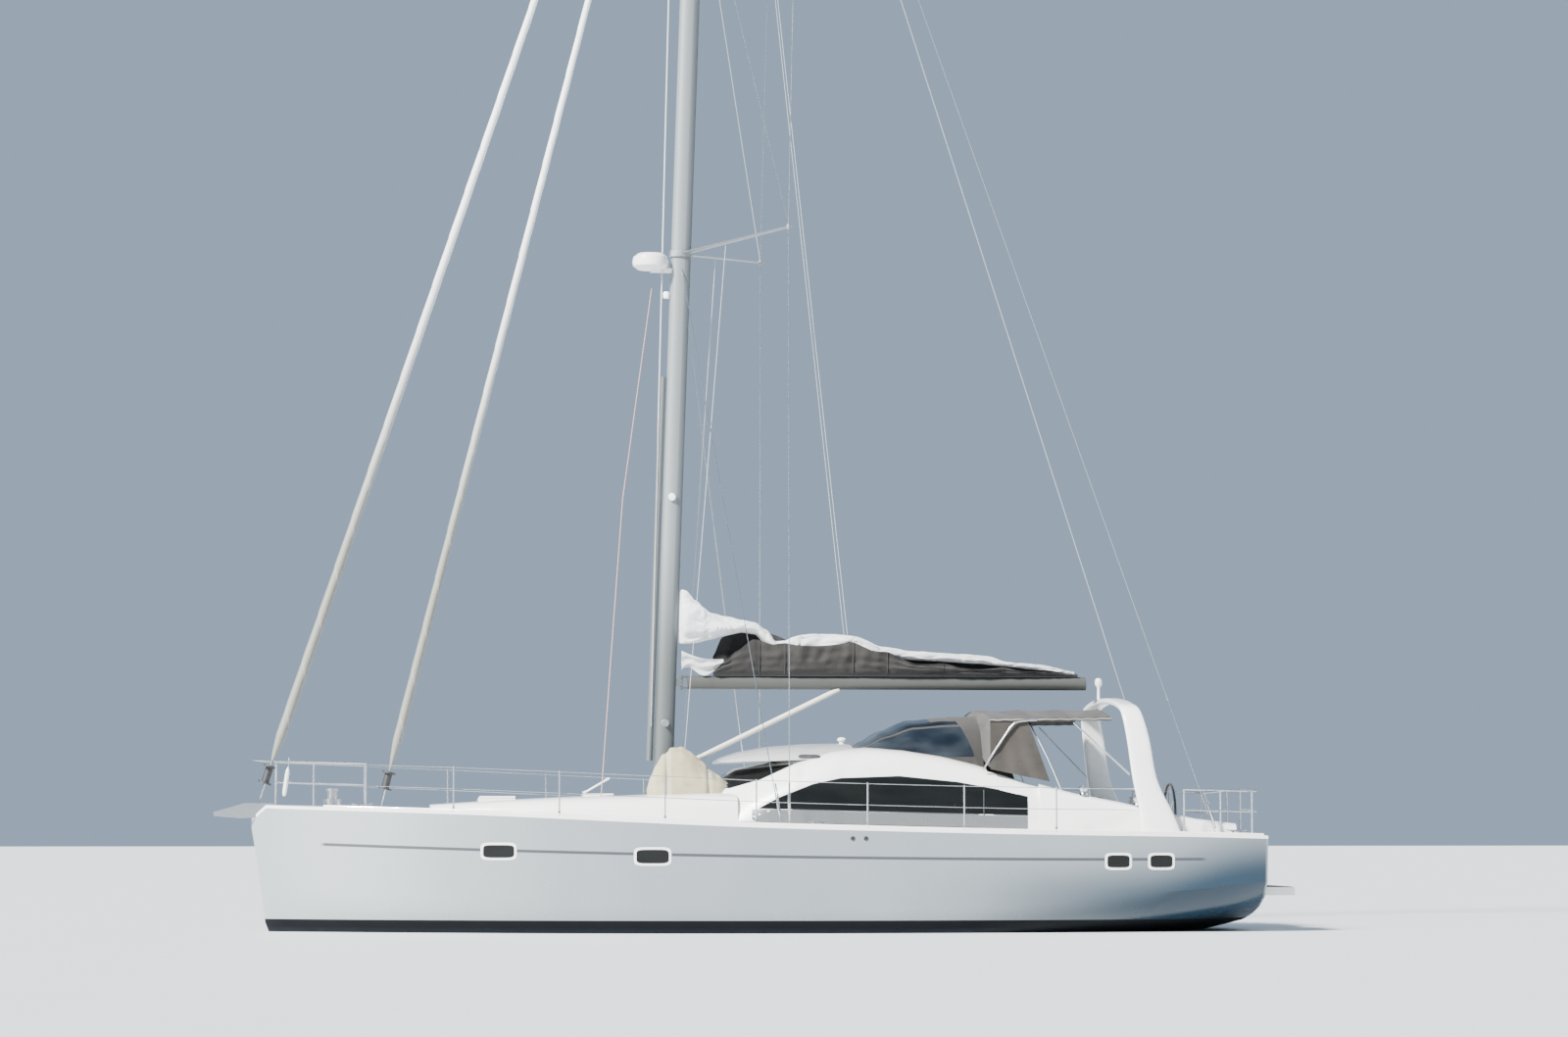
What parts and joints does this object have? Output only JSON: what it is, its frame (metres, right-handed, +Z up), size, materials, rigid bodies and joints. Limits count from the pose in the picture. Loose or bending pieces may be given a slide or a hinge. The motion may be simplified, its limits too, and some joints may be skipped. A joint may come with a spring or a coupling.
{
  "type": "sailing yacht",
  "caption": "Cruising sloop with a deck saloon, stern arch, fin keel, furled headsails, swinging boom, turning rudder, wheels and propeller, and opening hatches.",
  "frame": {"origin": "on the waterline plane, amidships on the centreline", "axes": "+X towards the bow, +Y to port, +Z up"},
  "size_m": [15.795, 4.6, 23.15],
  "materials": {
    "silver_paint": "gloss light silver-grey topsides paint over dark antifouling",
    "white_gelcoat": "white moulded gelcoat",
    "antifouling": "matt blue-black antifouling",
    "dark_glass": "dark tinted glass",
    "stainless": "polished stainless steel",
    "grey_alloy": "grey anodised alloy",
    "white_alloy": "white painted alloy",
    "bronze": "dull bronze",
    "taupe_canvas": "taupe acrylic canvas",
    "cream_canvas": "cream canvas",
    "sailcloth": "white woven sailcloth",
    "hood_window": "clear flexible window panels in canvas",
    "black_plastic": "black plastic"
  },
  "bodies": {
    "yacht": {"hull": "silver_paint", "deck": "white_gelcoat", "coachroof": "white_gelcoat", "deckhouse": "white_gelcoat", "side_window_port": "dark_glass", "side_window_starboard": "dark_glass", "windshield": "dark_glass", "coaming_port": "white_gelcoat", "coaming_starboard": "white_gelcoat", "arch": "white_gelcoat", "visor": "white_gelcoat", "sprayhood": "hood_window", "bimini_hoop": "stainless", "bimini": "taupe_canvas", "mast": "white_alloy", "masthead_crane": "grey_alloy", "lower_spreaders": "grey_alloy", "upper_spreaders": "grey_alloy", "cap_shroud_lower_port": "stainless", "cap_shroud_lower_starboard": "stainless", "cap_shroud_middle_port": "stainless", "cap_shroud_middle_starboard": "stainless", "cap_shroud_upper_port": "stainless", "cap_shroud_upper_starboard": "stainless", "lower_shroud_port": "stainless", "lower_shroud_starboard": "stainless", "backstay_port": "stainless", "backstay_starboard": "stainless", "inner_stay_link": "stainless", "bow_roller": "stainless", "windlass": "stainless", "whisker_pole": "grey_alloy", "radome": "white_gelcoat", "sail_bundle": "cream_canvas", "pulpit": "stainless", "guard_rail_port": "stainless", "guard_rail_starboard": "stainless", "pushpit_port": "stainless", "pushpit_starboard": "stainless", "pedestal_port": "white_gelcoat", "pedestal_starboard": "white_gelcoat", "keel": "antifouling", "shaft_bracket": "bronze"},
    "boom": {"boom": "white_alloy", "vang": "grey_alloy", "sail_pack": "taupe_canvas"},
    "outer_furler": {"outer_furled_sail": "sailcloth", "outer_furler_drum": "black_plastic"},
    "inner_furler": {"inner_furled_sail": "sailcloth", "inner_furler_drum": "black_plastic"},
    "rudder": {"rudder": "antifouling"},
    "wheel_port": {"wheel_port": "stainless"},
    "wheel_starboard": {"wheel_starboard": "stainless"},
    "propeller": {"propeller": "bronze"},
    "bathing_platform": {"bathing_platform": "white_gelcoat"},
    "saloon_hatch": {"saloon_hatch": "white_gelcoat"},
    "forward_hatch": {"forward_hatch": "white_gelcoat"},
    "companionway_hatch": {"companionway_hatch": "dark_glass"}
  },
  "joints": [
    {"name": "boom_swing", "type": "hinge", "parent": "yacht", "child": "boom", "pos_m": [1.19604, 0, 3.655], "axis": [-0.0328, 0, 0.9995], "range_deg": [-50, 50]},
    {"name": "rudder_turn", "type": "hinge", "parent": "yacht", "child": "rudder", "pos_m": [-5.78, 0, -0.2], "axis": [0, 0, 1], "range_deg": [-35, 35]},
    {"name": "wheel_port_turn", "type": "hinge", "parent": "yacht", "child": "wheel_port", "pos_m": [-5.95, 0.93, 1.72], "axis": [1, 0, 0], "range_deg": [-350, 350]},
    {"name": "wheel_starboard_turn", "type": "hinge", "parent": "yacht", "child": "wheel_starboard", "pos_m": [-5.95, -0.93, 1.72], "axis": [1, 0, 0], "range_deg": [-350, 350]},
    {"name": "propeller_spin", "type": "hinge", "parent": "yacht", "child": "propeller", "pos_m": [-3.2, 0, -0.48], "axis": [-0.9795, 0, -0.2016], "continuous": true},
    {"name": "platform_fold", "type": "hinge", "parent": "yacht", "child": "bathing_platform", "pos_m": [-7.245, 0, 0.622], "axis": [0, 1, 0], "range_deg": [0, 88]},
    {"name": "saloon_hatch_lift", "type": "hinge", "parent": "yacht", "child": "saloon_hatch", "pos_m": [2.64, 0, 2.0184], "axis": [0, 1, 0], "range_deg": [-30, 50]},
    {"name": "forward_hatch_lift", "type": "hinge", "parent": "yacht", "child": "forward_hatch", "pos_m": [4.18, 0, 1.9484], "axis": [0, 1, 0], "range_deg": [0, 80]},
    {"name": "companionway_slide", "type": "slide", "parent": "yacht", "child": "companionway_hatch", "axis": [1, 0, 0], "range_m": [0, 0.55]},
    {"name": "outer_furler_turn", "type": "hinge", "parent": "yacht", "child": "outer_furler", "pos_m": [7.42, 0, 1.85], "axis": [-0.3177, 0, 0.9482], "continuous": true},
    {"name": "inner_furler_turn", "type": "hinge", "parent": "yacht", "child": "inner_furler", "pos_m": [5.62, 0, 1.85], "axis": [-0.2436, 0, 0.9699], "continuous": true}
  ],
  "couplings": [
    {"joint": "wheel_port_turn", "follows": "rudder_turn", "ratio": 10},
    {"joint": "wheel_starboard_turn", "follows": "rudder_turn", "ratio": 10}
  ]
}
